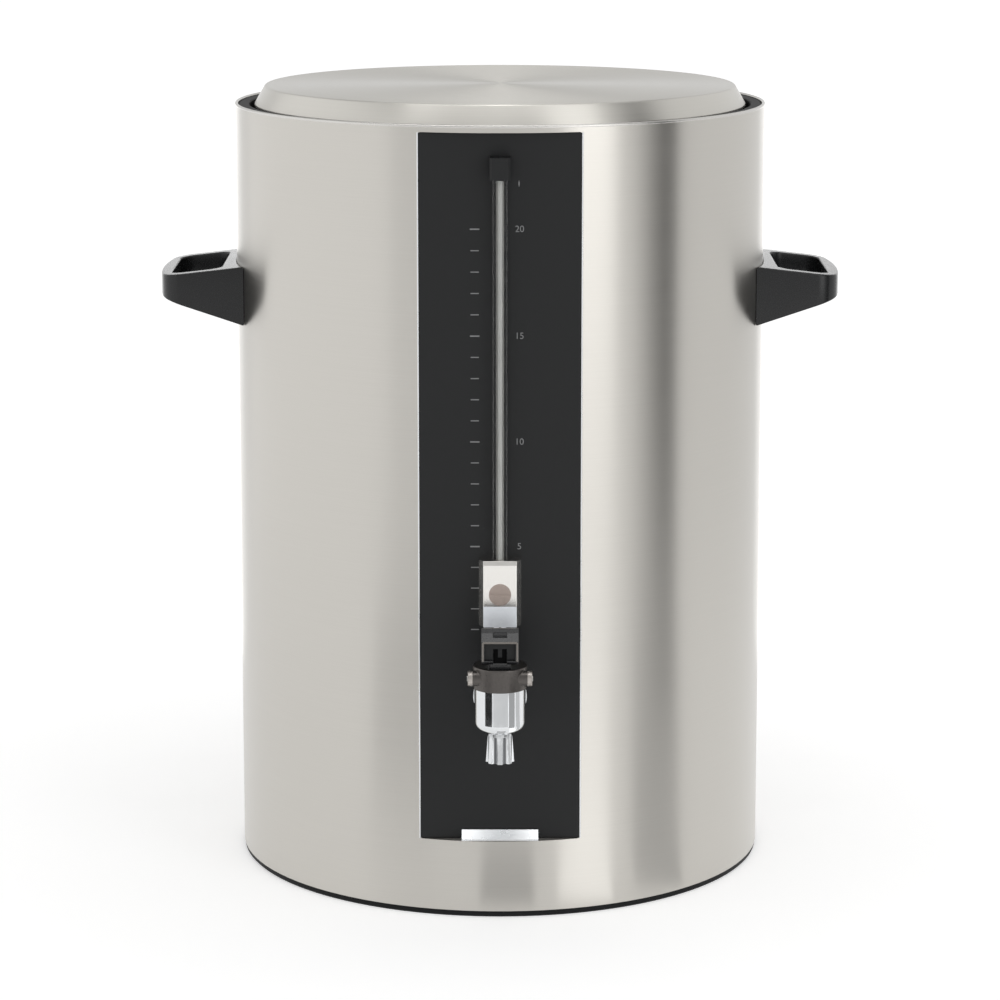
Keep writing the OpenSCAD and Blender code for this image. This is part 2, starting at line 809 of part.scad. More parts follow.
// Chrome casting: the valve's cup, its neck and flange, and the riser to the gauge block
module tap_body() {
    flange_y = panel_y - gasket_t;
    color("#d9dcdf") difference() {
        union() {
            translate([0, tap_y, 0]) rotate_extrude() cup_section(cup_r, cup_z0, cup_z1, cup_foot_r);
            translate([0, 0, tap_z]) {
                rod_y(neck_r, tap_y, flange_y);
                rod_y(flange_r, flange_y - flange_t, flange_y);
            }
            translate([0, gauge_y, 0]) {
                rod_z(riser_r, tap_z, block_z - 0.1);
                rod_z(riser_r - 1, tap_z, block_z + spigot_len);
            }
        }
        translate([0, tap_y, 0]) {
            rod_z(chamber_r, seat_z, cup_z1 + past);
            rod_z(nozzle_bore_r, cup_z0 - past, seat_z + past);
            rod_z(nozzle_spigot_r + thread_fit, cup_z0 - past, cup_z0 + nozzle_spigot_h);
        }
        translate([0, 0, tap_z]) {
            rod_y(passage_r, tap_y, flange_y);
            rod_y(shank_r + thread_fit, shank_front, flange_y + past);
        }
        translate([0, gauge_y, 0]) rod_z(feed_r, tap_z, block_z + spigot_len + past);
    }
}

// Fluted nozzle that flares towards its lip
module tap_nozzle() {
    z0 = cup_z0 - nozzle_len;
    throat_r = nozzle_r - 1.4;
    flute_r = 2;
    color("#d9dcdf") translate([0, tap_y, 0]) difference() {
        union() {
            translate([0, 0, z0]) cylinder(r1 = nozzle_r, r2 = throat_r, h = nozzle_len - 0.1);
            rod_z(nozzle_spigot_r, cup_z0 - 1, cup_z0 + nozzle_spigot_h - 0.2);
        }
        rod_z(nozzle_bore_r, z0 - past, cup_z0 + nozzle_spigot_h + past);
        for (i = [0:flute_count - 1]) rotate([0, 0, 360 * (i + 0.5) / flute_count])
            translate([nozzle_r + 0.3, 0, z0 - past]) cylinder(r = flute_r, h = nozzle_len - 2);
    }
}

// Black cap on the cup: it guides the stem and carries the lever's pin
module tap_bonnet() {
    color("#222326") difference() {
        union() {
            translate([0, tap_y, 0]) {
                rotate_extrude() crown_section(bonnet_r, cup_z1, bonnet_top, 0.8);
                rod_z(chamber_r - bonnet_fit, cup_z1 - bonnet_spigot, cup_z1 + past);
            }
            translate([0, pin_y, pin_z]) rod_x(ear_r, 0.5 - pin_len / 2, pin_len / 2 - 0.5);
        }
        translate([0, tap_y, 0]) {
            rod_z(stem_r + running_gap, cup_z1 - past, pocket_floor + past);
            rod_z(spring_room_r, cup_z1 - bonnet_spigot - past, cup_z1);
            block_x(2 * pocket_half, -pocket_front, stem_head_r + 2, pocket_floor, bonnet_top + past);
        }
        translate([0, pin_y, pin_z]) rod_x(pin_r + running_gap, -pin_len, pin_len);
    }
}

// Threaded tube through the panel and the wall
module tap_shank() {
    color("#b8b9ba") translate([0, 0, tap_z]) difference() {
        rod_y(shank_r, shank_front + 0.1, shank_back);
        rod_y(passage_r, shank_front - past, shank_back + past);
    }
}

module shank_gasket() {
    color("#3a3a3a") translate([0, 0, tap_z]) difference() {
        rod_y(flange_r - 0.5, panel_y - gasket_t, panel_y);
        rod_y(shank_r + tube_fit, panel_y - gasket_t - past, panel_y + past);
    }
}

// Hexagon nut that draws the tap against the panel and the wall
module shank_nut() {
    color("#b8b9ba") translate([0, 0, tap_z]) difference() {
        translate([0, pocket_back, 0]) rotate([-90, 0, 0]) cylinder(r = nut_r, h = nut_h, $fn = 6);
        rod_y(shank_r + thread_fit, pocket_back - past, pocket_back + nut_h + past);
    }
}

// Bend from under the tank's floor to the shank
module outlet_elbow() {
    leg_y = -outlet_reach;
    mouth_y = shank_back - elbow_socket;
    color("#b8b9ba") difference() {
        union() {
            translate([0, 0, tap_z]) rod_y(elbow_r, mouth_y, leg_y);
            translate([0, leg_y, 0]) rod_z(elbow_r, tap_z, elbow_top);
            translate([0, leg_y, tap_z]) sphere(elbow_r);
        }
        translate([0, 0, tap_z]) {
            rod_y(shank_r + thread_fit, mouth_y - past, shank_back + 0.2);
            rod_y(passage_r, mouth_y, leg_y);
        }
        translate([0, leg_y, 0]) {
            rod_z(passage_r, tap_z, elbow_top);
            rod_z(spigot_r + tube_fit, tank_floor - elbow_socket - seal_t - 0.1, elbow_top + past);
        }
        translate([0, leg_y, tap_z]) sphere(passage_r);
    }
}

module outlet_seal() {
    z0 = tank_floor - elbow_socket - seal_t - 0.1;
    color("#3a3a3a") translate([0, -outlet_reach, 0]) ring(passage_r, spigot_r, z0, z0 + seal_t);
}

module stem_spring() {
    color("#a7a7a5") translate([0, tap_y, 0]) coil(spring_z0, spring_z1);
}

// ---- Valve and lever ----

// Stem with a head that the lever lifts and a collar that the spring pushes down
module valve_stem() {
    color("#b8b9ba") translate([0, tap_y, 0]) {
        rod_z(stem_r, stem_foot, stem_head_z + stem_head_h / 2);
        rod_z(stem_collar_r, stem_collar_z, stem_collar_z + stem_collar_t);
        rotate_extrude() crown_section(stem_head_r, stem_head_z, stem_head_z + stem_head_h, 1);
    }
}

// Rubber cup that closes the seat
module seat_cup() {
    color("#5b5550") translate([0, tap_y, 0]) difference() {
        union() {
            rod_z(seat_cup_r, seat_gap_z, seat_gap_z + seat_lip_h);
            translate([0, 0, seat_gap_z + seat_lip_h])
                cylinder(r1 = seat_cup_r, r2 = 2 * stem_r, h = seat_cup_h - seat_lip_h);
        }
        rod_z(stem_r + 0.02, stem_foot, seat_gap_z + seat_cup_h + past);
    }
}

// Side outline of the lever's grip, about the pin
module grip_side() {
    polygon([
        [-4, grip_foot], [grip_front + 0.5, grip_foot + 2],
        [grip_front, lever_h - grip_lip - grip_slope], [-1.5, lever_h - grip_lip],
        [-1.5, lever_h], [grip_rear, lever_h], [grip_rear, grip_foot]
    ]);
}

// Black lever: two cheeks on the pin, fingers under the stem's head, a framed grip
module tap_lever() {
    hollow_z = grip_foot + 2.5;
    slope_top = lever_h - grip_lip;
    hollow_top = slope_top - grip_slope - 0.8;
    color("#1f2022") translate([0, pin_y, pin_z]) difference() {
        union() {
            for (s = [-1, 1]) scale_x(s) translate([cheek_in + cheek_t / 2, 0, 0]) across(cheek_t) {
                circle(cheek_boss_r);
                translate([pin_fwd, 0]) circle(finger_r);
                translate([0, -finger_r]) square([pin_fwd, 2 * finger_r]);
                translate([-neck_front, 0]) square([neck_front + grip_rear, neck_h]);
            }
            across(2 * cheek_out) translate([-neck_front, cheek_boss_r])
                square([neck_t, neck_h - cheek_boss_r]);
            across(lever_w) grip_side();
        }
        rod_x(pin_r + 0.02, -lever_w, lever_w);
        block_x(lever_w - 2 * grip_frame, grip_front - past, grip_front + 3, hollow_z, hollow_top);
        block_x(grip_notch, grip_front - past, grip_front + 4.4, grip_foot - past, hollow_top - 4);
        block_x(grip_notch, grip_front - past, -1, slope_top - grip_slope / 2, slope_top);
    }
}

module lever_pin() {
    color("#d0d0ce") translate([0, pin_y, pin_z]) rod_x(pin_r, -pin_len / 2, pin_len / 2);
}

// ---- Lid ----

// Half-section of the lid, drawn in from its outside: foot, sloping side, rounding and flat top
module lid_section(inset, foot_z) {
    foot_top = lid_skirt + lid_foot_h;
    slope = atan((lid_top - foot_top) / lid_slope_w);
    r = max(lid_edge_r - inset, 0.2);
    round_x = lid_r - lid_slope_w - (inset + r) * tan(slope / 2);
    polygon(concat(
        [[0, foot_z], [lid_r - inset, foot_z],
         [lid_r - inset, foot_top - inset * tan(45 - slope / 2)]],
        arc([round_x, lid_top - inset - r], r, 90 - slope, 90, 5),
        [[0, lid_top - inset]]
    ));
}

// Spun steel cover with an upright foot, a sloping side and a flat top
module lid_cover() {
    color("#cfcdc6") rotate_extrude() difference() {
        lid_section(0, lid_skirt);
        lid_section(sheet_t, lid_skirt - past);
    }
}

// Foam that fills the lid
module lid_insulation() {
    gap = sheet_t + seat_gap;
    color("#e8dcb0") rotate_extrude() {
        lid_section(gap, lid_skirt + gap);
        cup_section(lid_pan_r - gap, lid_pan_z + gap, lid_skirt + 2 * gap, lid_pan_corner_r - gap);
    }
}

// Inner pan that reaches into the tank's mouth
module lid_inner() {
    r = lid_pan_corner_r;
    color("#b9b7b2") rotate_extrude() {
        difference() {
            cup_section(lid_pan_r, lid_pan_z, lid_skirt + sheet_t, r);
            cup_section(lid_pan_r - sheet_t, lid_pan_z + sheet_t, lid_skirt + sheet_t + past, r - sheet_t);
        }
        translate([lid_pan_r - sheet_t, lid_skirt])
            square([lid_r - lid_pan_r - seat_gap, sheet_t]);
    }
}

// Ring that the lid rests on
module lid_seal() {
    z1 = lid_skirt - 0.02;
    color("#8c8a86") ring(tank_out + 0.6, tank_rim_r - 0.4, z1 - lid_seal_h, z1);
}

outer_shell();
inner_tank();
wall_insulation();
floor_insulation();
top_collar();
base_plate();
base_cap();
base_screws();
handle_left();
handle_right();
handle_backplates();
handle_screws();
front_panel();
panel_clip();
gauge_tube();
gauge_top_holder();
gauge_top_seal();
gauge_block();
gauge_block_plug();
gauge_lower_seal();
tap_body();
tap_nozzle();
tap_bonnet();
tap_shank();
shank_gasket();
shank_nut();
outlet_elbow();
outlet_seal();
stem_spring();
valve_stem();
seat_cup();
tap_lever();
lever_pin();
lid_cover();
lid_insulation();
lid_inner();
lid_seal();
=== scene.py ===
# Double-walled coffee urn: surfaces, fine detail, studio and camera.
# Metres, +Z up, front towards -Y, the axis of the body on Z.
import json
import math

import bmesh
import bpy
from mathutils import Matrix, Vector


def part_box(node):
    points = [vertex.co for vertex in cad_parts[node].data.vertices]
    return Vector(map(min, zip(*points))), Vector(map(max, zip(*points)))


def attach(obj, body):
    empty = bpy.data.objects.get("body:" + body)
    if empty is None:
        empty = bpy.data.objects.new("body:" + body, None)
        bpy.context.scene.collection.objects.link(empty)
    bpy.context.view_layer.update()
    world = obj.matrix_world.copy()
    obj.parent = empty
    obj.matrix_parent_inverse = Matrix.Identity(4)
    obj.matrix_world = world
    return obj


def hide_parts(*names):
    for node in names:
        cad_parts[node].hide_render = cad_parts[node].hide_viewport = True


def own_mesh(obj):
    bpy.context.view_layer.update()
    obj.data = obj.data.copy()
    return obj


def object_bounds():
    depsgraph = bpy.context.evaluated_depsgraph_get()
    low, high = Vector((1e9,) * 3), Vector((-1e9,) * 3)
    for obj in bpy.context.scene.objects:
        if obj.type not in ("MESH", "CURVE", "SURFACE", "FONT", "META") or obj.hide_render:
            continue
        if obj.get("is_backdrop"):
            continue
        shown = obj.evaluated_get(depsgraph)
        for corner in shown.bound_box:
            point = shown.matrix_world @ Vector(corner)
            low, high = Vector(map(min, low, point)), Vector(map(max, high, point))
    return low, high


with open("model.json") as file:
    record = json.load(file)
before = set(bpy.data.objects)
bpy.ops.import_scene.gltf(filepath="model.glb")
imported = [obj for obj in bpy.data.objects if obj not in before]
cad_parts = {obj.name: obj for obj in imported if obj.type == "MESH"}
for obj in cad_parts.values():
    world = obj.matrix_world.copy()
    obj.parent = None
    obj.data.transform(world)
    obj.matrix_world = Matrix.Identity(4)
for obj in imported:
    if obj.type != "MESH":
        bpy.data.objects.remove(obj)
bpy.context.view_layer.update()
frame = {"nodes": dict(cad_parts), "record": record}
nodes = frame["nodes"]
slot_of = {s["node"]: s["material_slot"] for s in frame["record"]["subparts"]}
MM = 0.001


# ---- Shader nodes ----

COLOUR_A, COLOUR_B, COLOUR_OUT = 6, 7, 2    # a Mix node's sockets when it mixes colours


def put(node, **values):
    """Sets a node's inputs by their names, written with _ for a space."""
    for name, value in values.items():
        node.inputs[name.replace("_", " ")].default_value = value
    return node


def feed(tree, socket, value):
    """Gives a socket an output or a plain value."""
    if isinstance(value, bpy.types.NodeSocket):
        tree.links.new(value, socket)
    else:
        socket.default_value = value


def combined(tree, operation, *values, clamp=False):
    """Output of a sum, product or the like of outputs and plain values."""
    made = tree.nodes.new("ShaderNodeMath")
    made.operation = operation
    made.use_clamp = clamp
    for socket, value in zip(made.inputs, values):
        feed(tree, socket, value)
    return made.outputs[0]


def ramp(tree, source, from_low, from_high, to_low, to_high):
    """Output that follows a source from one range to another and stays at its ends."""
    made = put(tree.nodes.new("ShaderNodeMapRange"), From_Min=from_low, From_Max=from_high,
               To_Min=to_low, To_Max=to_high)
    tree.links.new(source, made.inputs["Value"])
    return made.outputs["Result"]


def blended(tree, share, first, second):
    """Output between two colours, each an output or a plain colour."""
    mix = tree.nodes.new("ShaderNodeMix")
    mix.data_type = "RGBA"
    feed(tree, mix.inputs[COLOUR_A], first)
    feed(tree, mix.inputs[COLOUR_B], second)
    tree.links.new(share, mix.inputs[0])
    return mix.outputs[COLOUR_OUT]


def length_of(tree, vector):
    made = tree.nodes.new("ShaderNodeVectorMath")
    made.operation = "LENGTH"
    tree.links.new(vector, made.inputs[0])
    return made.outputs["Value"]


def object_place(tree):
    return tree.nodes.new("ShaderNodeTexCoord").outputs["Object"]


def axes_of(tree, vector):
    split = tree.nodes.new("ShaderNodeSeparateXYZ")
    tree.links.new(vector, split.inputs[0])
    return split.outputs


def cleared(holder):
    """Emptied node tree of a material or a world."""
    holder.use_nodes = True
    holder.node_tree.nodes.clear()
    return holder.node_tree


# ---- Surfaces ----

NOISE_RANGE = 0.3, 0.7        # where nearly all of a noise lies
NOISE_ROUGHNESS = 0.6
EDGE_SAMPLES = 6
QUARTER_TURN = 0.25


def srgb(value):
    """Linear value of one 0..255 channel."""
    c = value / 255
    return c / 12.92 if c <= 0.04045 else ((c + 0.055) / 1.055) ** 2.4


def colour(r, g, b):
    return (srgb(r), srgb(g), srgb(b), 1.0)


class Surface:
    """A principled material whose colour, roughness and relief vary with a noise."""

    def __init__(self, name, dark, light, rough, metallic=0.0, **sockets):
        self.material = bpy.data.materials.new(name)
        self.material.use_nodes = True
        self.tree = self.material.node_tree
        self.shader = put(self.tree.nodes["Principled BSDF"], Metallic=metallic, **sockets)
        self.dark, self.light, self.rough = dark, light, rough
        self.normal = None

    def node(self, kind, **inputs):
        return put(self.tree.nodes.new(kind), **inputs)

    def link(self, source, target):
        self.tree.links.new(source, target)

    def place(self, scale):
        """Place on the object, stretched by a factor for each axis."""
        stretch = self.node("ShaderNodeMapping", Scale=scale)
        self.link(object_place(self.tree), stretch.inputs["Vector"])
        return stretch.outputs["Vector"]

    def spun_place(self, across, along):
        """Place that varies quickly with the distance from Z and slowly round it."""
        axes = axes_of(self.tree, object_place(self.tree))
        flat = self.node("ShaderNodeCombineXYZ")
        self.link(axes["X"], flat.inputs["X"])
        self.link(axes["Y"], flat.inputs["Y"])
        turned = self.node("ShaderNodeCombineXYZ")
        self.link(length_of(self.tree, flat.outputs[0]), turned.inputs["X"])
        self.link(axes["X"], turned.inputs["Y"])
        self.link(axes["Z"], turned.inputs["Z"])
        stretch = self.node("ShaderNodeMapping", Scale=(across, along, across))
        self.link(turned.outputs[0], stretch.inputs["Vector"])
        return stretch.outputs["Vector"]

    def noise(self, place, detail=4.0):
        made = self.node("ShaderNodeTexNoise", Scale=1.0, Detail=detail,
                         Roughness=NOISE_ROUGHNESS)
        self.link(place, made.inputs["Vector"])
        return made.outputs["Fac"]

    def vary(self, fac):
        """Colour and roughness follow the noise."""
        self.link(blended(self.tree, fac, self.dark, self.light),
                  self.shader.inputs["Base Color"])
        self.link(ramp(self.tree, fac, *NOISE_RANGE, *self.rough),
                  self.shader.inputs["Roughness"])
        return self

    def round_edges(self, radius):
        """Sharp edges catch the light as if they were rounded."""
        bevel = self.node("ShaderNodeBevel", Radius=radius)
        bevel.samples = EDGE_SAMPLES
        self.normal = bevel.outputs["Normal"]
        self.link(self.normal, self.shader.inputs["Normal"])
        return self

    def relief(self, fac, depth, strength):
        """Raises the surface by a depth where the noise is high."""
        bump = self.node("ShaderNodeBump", Strength=strength, Distance=depth)
        self.link(fac, bump.inputs["Height"])
        if self.normal:
            self.link(self.normal, bump.inputs["Normal"])
        self.link(bump.outputs["Normal"], self.shader.inputs["Normal"])
        return self

    def brush_round(self, amount):
        """Brushed round Z, so that reflections spread across the brush lines."""
        tangent = self.node("ShaderNodeTangent")
        tangent.direction_type = "RADIAL"
        tangent.axis = "Z"
        self.link(tangent.outputs[0], self.shader.inputs["Tangent"])
        put(self.shader, Anisotropic=amount, Anisotropic_Rotation=QUARTER_TURN)
        return self


def brushed_wall(name, dark, light, rough, amount):
    """Sheet steel, brushed round the body in fine lines."""
    made = Surface(name, dark, light, rough, metallic=1.0)
    lines = made.noise(made.place((9, 9, 2600)), detail=5.0)
    made.vary(lines).round_edges(0.5 * MM).relief(lines, 0.006 * MM, 0.15)
    return made.brush_round(amount)


def spun_metal(name, dark, light, rough, amount):
    """Sheet steel with the fine rings that spinning leaves."""
    made = Surface(name, dark, light, rough, metallic=1.0)
    rings = made.noise(made.spun_place(2200, 6), detail=5.0)
    return made.vary(rings).relief(rings, 0.01 * MM, 0.25).brush_round(amount)


def moulded(name, dark, light, rough, grain=1500, depth=0.02, edge=0.35, **sockets):
    """Plastic, rubber, foam, glass or paint; depth and edge are in mm."""
    made = Surface(name, dark, light, rough, **sockets)
    skin = made.noise(made.place((grain,) * 3), detail=3.0)
    return made.vary(skin).round_edges(edge * MM).relief(skin, depth * MM, 0.4)


def plated(name, dark, light, rough, edge=0.3, grain=90, depth=0.004):
    """Smooth metal with a slight haze; edge and depth are in mm."""
    made = Surface(name, dark, light, rough, metallic=1.0)
    haze = made.noise(made.place((grain,) * 3), detail=6.0)
    return made.vary(haze).round_edges(edge * MM).relief(haze, depth * MM, 0.2)


def shade_flutes(surface, axis_y, floor_r, crest_r, dark):
    """Paints shade on the floors of flutes round an upright axis, by their distance from it."""
    tree, base = surface.tree, surface.shader.inputs["Base Color"]
    flat = surface.node("ShaderNodeVectorMath")
    flat.operation = "MULTIPLY_ADD"
    flat.inputs[1].default_value = (1, 1, 0)
    flat.inputs[2].default_value = (0, -axis_y, 0)
    surface.link(object_place(tree), flat.inputs[0])
    away = length_of(tree, flat.outputs["Vector"])
    height = ramp(tree, away, floor_r, crest_r, 0.0, 1.0)
    surface.link(blended(tree, height, dark, base.links[0].from_socket), base)


# Surfaces of the material slots
SURFACES = {
    "brushed_steel": brushed_wall(
        "brushed_steel", colour(197, 194, 188), colour(206, 203, 197), (0.28, 0.34), 0.8),
    "inner_steel": brushed_wall(
        "inner_steel", colour(188, 187, 184), colour(204, 203, 200), (0.24, 0.36), 0.6),
    "foam": moulded(
        "foam", colour(214, 196, 140), colour(236, 222, 176), (0.85, 0.95),
        grain=700, depth=0.3, edge=0.5),
    "collar_plastic": moulded(
        "collar_plastic", colour(16, 17, 18), colour(24, 25, 26), (0.5, 0.62),
        Specular_IOR_Level=0.2),
    "handle_plastic": moulded(
        "handle_plastic", colour(22, 23, 24), colour(30, 31, 32), (0.2, 0.3),
        grain=1100, Specular_IOR_Level=0.4),
    "zinc_screw": plated(
        "zinc_screw", colour(150, 150, 148), colour(186, 186, 182), (0.25, 0.4)),
    "panel_plastic": moulded(
        "panel_plastic", colour(25, 26, 27), colour(32, 33, 34), (0.4, 0.48),
        grain=1300, depth=0.012, Specular_IOR_Level=0.3),
    "bright_steel": plated(
        "bright_steel", colour(226, 228, 230), colour(240, 242, 243), (0.24, 0.34)),
    "gauge_glass": moulded(
        "gauge_glass", colour(222, 223, 222), colour(234, 235, 234), (0.03, 0.06),
        grain=60, depth=0.001, edge=0.1, Transmission_Weight=1.0, IOR=1.2),
    "tap_plastic": moulded(
        "tap_plastic", colour(26, 27, 29), colour(38, 38, 40), (0.24, 0.34),
        grain=1400, depth=0.01, edge=0.7, Specular_IOR_Level=0.8),
    "block_metal": plated(
        "block_metal", colour(232, 229, 224), colour(244, 242, 238), (0.16, 0.24), edge=0.4),
    "plug_metal": plated(
        "plug_metal", colour(166, 152, 144), colour(190, 176, 168), (0.4, 0.55), grain=500),
    "tap_chrome": plated(
        "tap_chrome", colour(222, 224, 226), colour(238, 240, 242), (0.05, 0.09)),
    "turned_steel": plated(
        "turned_steel", colour(176, 176, 174), colour(206, 206, 203), (0.2, 0.34), grain=400),
    "seal_rubber": moulded(
        "seal_rubber", colour(44, 42, 40), colour(64, 61, 58), (0.6, 0.75), grain=900),
}

# Surfaces of single pieces
spun_steel = spun_metal(
    "spun_steel", colour(202, 200, 193), colour(214, 211, 205), (0.3, 0.38), 0.8)
printed = moulded(
    "scale_print", colour(128, 129, 130), colour(146, 147, 148), (0.5, 0.6), grain=2500)
# Light paint of a thin rod that stands for the highlight down the middle of the gauge glass
highlight_rod_paint = moulded(
    "gauge_highlight_rod", colour(222, 221, 219), colour(234, 233, 231), (0.4, 0.5), grain=300)
# Lighter, bluish satin for the block's leaning foot: a painted reflection of the pale ceiling
foot_painted_sheen = moulded(
    "block_foot", colour(238, 242, 248), colour(246, 250, 254), (0.3, 0.4),
    grain=700, depth=0.004, metallic=0.5)
strip_paint = moulded(
    "gauge_strip", colour(168, 166, 163), colour(182, 180, 177), (0.5, 0.6), grain=300)
# Light plastic for painted highlights along the lever's edges
edge_highlight_plastic = moulded(
    "edge_highlight_plastic", colour(118, 113, 108), colour(142, 136, 130), (0.35, 0.5), grain=1800)
rolled_steel = Surface(
    "rolled_steel", colour(204, 202, 198), colour(216, 214, 210), (0.2, 0.28), metallic=1.0)
rolled_steel.vary(rolled_steel.noise(rolled_steel.place((60, 60, 60))))
# Near-black sheet of painted shade for the dark hole in the lever's notch
notch_painted_shade = moulded(
    "notch_painted_shade", colour(5, 5, 6), colour(10, 10, 11), (0.8, 0.9), Specular_IOR_Level=0.1)
cap_metal = plated(
    "tap_cap", colour(86, 83, 81), colour(104, 100, 97), (0.26, 0.36),
    edge=0.6, grain=700, depth=0.01)
ear_metal = plated(
    "tap_ear", colour(176, 170, 165), colour(192, 187, 182), (0.3, 0.4), grain=500)
fluted_chrome = plated(
    "fluted_chrome", colour(222, 224, 226), colour(238, 240, 242), (0.06, 0.1))

nozzle_low, nozzle_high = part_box("tap_nozzle")
# Painted shade: the nozzle's chrome turns darker towards the floors of its flutes
shade_flutes(fluted_chrome, axis_y=(nozzle_low.y + nozzle_high.y) / 2,
             floor_r=7.4 * MM, crest_r=7.9 * MM, dark=colour(100, 101, 103))

# Nodes whose surface isn't that of their slot
OWN = {
    "tap_bonnet": cap_metal,
    "tap_nozzle": fluted_chrome,
    "gauge_top_holder": SURFACES["panel_plastic"],
}
for name, cad in nodes.items():
    cad.data.materials.clear()
    cad.data.materials.append(OWN.get(name, SURFACES[slot_of[name]]).material)


# ---- Building pieces ----

def finished(name, mesh, surface, body, stands_for=(), sharp=32):
    """A mesh in place becomes a piece of the urn; edges over sharp degrees stay sharp."""
    mesh.name = name
    mesh.materials.clear()
    mesh.materials.append(surface.material)
    mesh.polygons.foreach_set("use_smooth", [True] * len(mesh.polygons))
    mesh.set_sharp_from_angle(angle=math.radians(sharp))
    piece = bpy.data.objects.new(name, mesh)
    bpy.context.scene.collection.objects.link(piece)
    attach(piece, body)
    if stands_for:
        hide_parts(*stands_for)
    return piece


def mesh_of(shape):
    """Mesh of a bmesh, which is freed."""
    mesh = bpy.data.meshes.new("shape")
    shape.to_mesh(mesh)
    shape.free()
    return mesh


def mesh_of_curve(curve):
    """Mesh of an outline or of figures, as they are drawn."""
    drawn = bpy.data.objects.new("drawn", curve)
    bpy.context.scene.collection.objects.link(drawn)
    graph = bpy.context.evaluated_depsgraph_get()
    mesh = bpy.data.meshes.new_from_object(drawn.evaluated_get(graph))
    bpy.data.objects.remove(drawn)
    return mesh


def arc(centre, r, start, stop, steps):
    """Points of (a, b) along an arc, angles in degrees."""
    angles = [math.radians(start + (stop - start) * i / steps) for i in range(steps + 1)]
    return [(centre[0] + r * math.cos(a), centre[1] + r * math.sin(a)) for a in angles]


def round_box(width, low, high, r, steps=8):
    """Outline with round corners, centred sideways, anticlockwise."""
    w = width / 2
    return (arc((w - r, low + r), r, -90, 0, steps)
            + arc((w - r, high - r), r, 0, 90, steps)
            + arc((-w + r, high - r), r, 90, 180, steps)
            + arc((-w + r, low + r), r, 180, 270, steps))


def lathe(profile, centre=(0.0, 0.0), steps=256):
    """Mesh of a closed profile of (radius, height) turned round an upright axis."""
    shape = bmesh.new()
    turns = [2 * math.pi * i / steps for i in range(steps)]
    rings = []
    for r, z in profile:
        places = [(centre[0] + r * math.cos(t), centre[1] + r * math.sin(t), z) for t in turns]
        if r < 1e-7:    # on the axis, where one point stands for the ring
            places = [(centre[0], centre[1], z)]
        rings.append([shape.verts.new(place) for place in places])
    for a, b in zip(rings, rings[1:] + rings[:1]):
        if len(a) == 1 and len(b) == 1:
            continue
        for i in range(steps):
            j = (i + 1) % steps
            first = [a[0]] if len(a) == 1 else [a[i], a[j]]
            second = [b[0]] if len(b) == 1 else [b[j], b[i]]
            shape.faces.new(first + second)
    bmesh.ops.recalc_face_normals(shape, faces=shape.faces)
    return mesh_of(shape)


def plate(outlines, thickness, edge, steps=1):
    """Mesh of a plate on the XY plane with rounded edges; outlines after the first are holes."""
    curve = bpy.data.curves.new("plate", "CURVE")
    curve.dimensions = "2D"
    curve.fill_mode = "BOTH"
    curve.extrude = thickness / 2 - edge
    curve.bevel_depth = edge
    curve.bevel_resolution = steps
    curve.offset = -edge
    for outline in outlines:
        spline = curve.splines.new("POLY")
        spline.points.add(len(outline) - 1)
        for point, (a, b) in zip(spline.points, outline):
            point.co = (a, b, 0, 1)
        spline.use_cyclic_u = True
    return mesh_of_curve(curve)


def spanned(points):
    """Mesh of the solid that a set of points spans."""
    shape = bmesh.new()
    for point in points:
        shape.verts.new(point)
    bmesh.ops.convex_hull(shape, input=shape.verts)
    bmesh.ops.dissolve_limit(shape, angle_limit=0.01, verts=shape.verts, edges=shape.edges)
    return mesh_of(shape)


def merged(*meshes):
    """One mesh of several, with all its faces turned outwards."""
    shape = bmesh.new()
    for mesh in meshes:
        shape.from_mesh(mesh)
    bmesh.ops.recalc_face_normals(shape, faces=shape.faces)
    return mesh_of(shape)


def moved(mesh, change):
    """Applies a function of one place to every vertex."""
    for vertex in mesh.vertices:
        vertex.co = change(vertex.co)
    mesh.update()
    return mesh


def upright(mesh, y, x=0.0, z=0.0):
    """Stands a mesh that lies on the XY plane up, to face the front."""
    return moved(mesh, lambda co: Vector((x + co.x, y - co.z, z + co.y)))


def upright_rod(x, y, z0, z1, r, steps, bevel):
    """Mesh of an upright round rod with rounded ends."""
    profile = ([(0, z0)] + arc((r - bevel, z0 + bevel), bevel, -90, 0, 4)
               + arc((r - bevel, z1 - bevel), bevel, 0, 90, 4) + [(0, z1)])
    return lathe(profile, (x, y), steps)


def lying_rod(x0, x1, y, z, r, bevel):
    """Mesh of a round rod along X with rounded ends."""
    return moved(upright_rod(0, 0, x0, x1, r, 48, bevel),
                 lambda co: Vector((co.z, y + co.y, z - co.x)))


# ---- Lid: spun cover with an upright foot, a sloping side and a rolled hem ----

low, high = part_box("lid_cover")
lid_r, lid_top, lid_skirt = high.x, high.z, low.z
foot_h, slope_w, edge_r = 2.2 * MM, 7.0 * MM, 2.0 * MM
foot_bend, hem_r = 1.2 * MM, 0.9 * MM
crown, crown_steps = 0.2 * MM, 8
slope = math.degrees(math.atan2(lid_top - lid_skirt - foot_h, slope_w))


def half_tan(degrees):
    return math.tan(math.radians(degrees) / 2)


flat_r = lid_r - slope_w - edge_r * half_tan(slope)
foot_z = lid_skirt + foot_h - crown - foot_bend * half_tan(90 - slope)
inside_z = lid_top - 3 * hem_r
lid_profile = (
    [(0, lid_top)]
    + [(flat_r * i / crown_steps, lid_top - crown * (i / crown_steps) ** 2)
       for i in range(1, crown_steps)]
    + arc((flat_r, lid_top - crown - edge_r), edge_r, 90, 90 - slope, 8)
    + arc((lid_r - foot_bend, foot_z), foot_bend, 90 - slope, 0, 4)
    + arc((lid_r - hem_r, lid_skirt + hem_r), hem_r, 0, -180, 8)
    + [(lid_r - 2 * hem_r, foot_z), (flat_r, inside_z), (0, inside_z)]
)
finished("lid_spun_cover", lathe(lid_profile), spun_steel, "lid", ["lid_cover"])


# ---- Body: polished bead, a little fuller than the rolled edge that it covers ----

